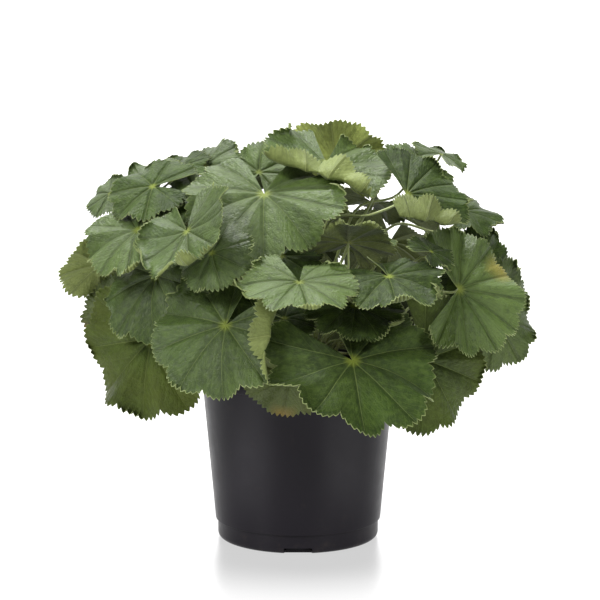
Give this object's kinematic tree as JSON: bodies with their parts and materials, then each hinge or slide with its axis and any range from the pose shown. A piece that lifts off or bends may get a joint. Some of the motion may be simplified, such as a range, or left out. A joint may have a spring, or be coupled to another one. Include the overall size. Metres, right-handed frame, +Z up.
{
  "type": "potted perennial plant",
  "caption": "Mounded clump of rounded, pleated and lobed leaves on long stalks, rooted in compost in a round tapered black plastic nursery pot.",
  "frame": {"origin": "middle of the pot's underside, on the surface it stands on", "axes": "+Z up the pot's axis, -Y towards the viewer of the front, +X to that viewer's right"},
  "size_m": [0.3359, 0.311, 0.3021],
  "materials": {
    "pot_plastic": "satin black",
    "compost": "damp, crumbly, matt",
    "leaf": "soft satin with fine silky hairs"
  },
  "bodies": {
    "root": {"leaf_back_1": "leaf", "leaf_back_10": "leaf", "leaf_back_11": "leaf", "leaf_back_12": "leaf", "leaf_back_13": "leaf", "leaf_back_14": "leaf", "leaf_back_15": "leaf", "leaf_back_16": "leaf", "leaf_back_2": "leaf", "leaf_back_3": "leaf", "leaf_back_4": "leaf", "leaf_back_5": "leaf", "leaf_back_6": "leaf", "leaf_back_7": "leaf", "leaf_back_8": "leaf", "leaf_back_9": "leaf", "leaf_crown_behind": "leaf", "leaf_crown_top": "leaf", "leaf_crown_wide": "leaf", "leaf_far_left": "leaf", "leaf_front_low_left": "leaf", "leaf_front_low_right": "leaf", "leaf_funnel": "leaf", "leaf_inner_edge": "leaf", "leaf_inner_low": "leaf", "leaf_inner_top": "leaf", "leaf_left_butterfly": "leaf", "leaf_left_far_top": "leaf", "leaf_left_inner": "leaf", "leaf_left_low": "leaf", "leaf_left_low_small": "leaf", "leaf_left_middle": "leaf", "leaf_left_small": "leaf", "leaf_left_top": "leaf", "leaf_left_upper": "leaf", "leaf_low_brown": "leaf", "leaf_middle": "leaf", "leaf_middle_left": "leaf", "leaf_middle_low": "leaf", "leaf_middle_right": "leaf", "leaf_middle_small": "leaf", "leaf_right_behind": "leaf", "leaf_right_big": "leaf", "leaf_right_far_top": "leaf", "leaf_right_low": "leaf", "leaf_right_low_behind": "leaf", "leaf_right_small": "leaf", "leaf_right_top": "leaf", "leaf_right_upper": "leaf", "leaf_top_bright": "leaf", "leaf_top_left": "leaf", "leaf_top_middle_left": "leaf", "pot": "pot_plastic", "soil": "compost"}
  },
  "joints": []
}
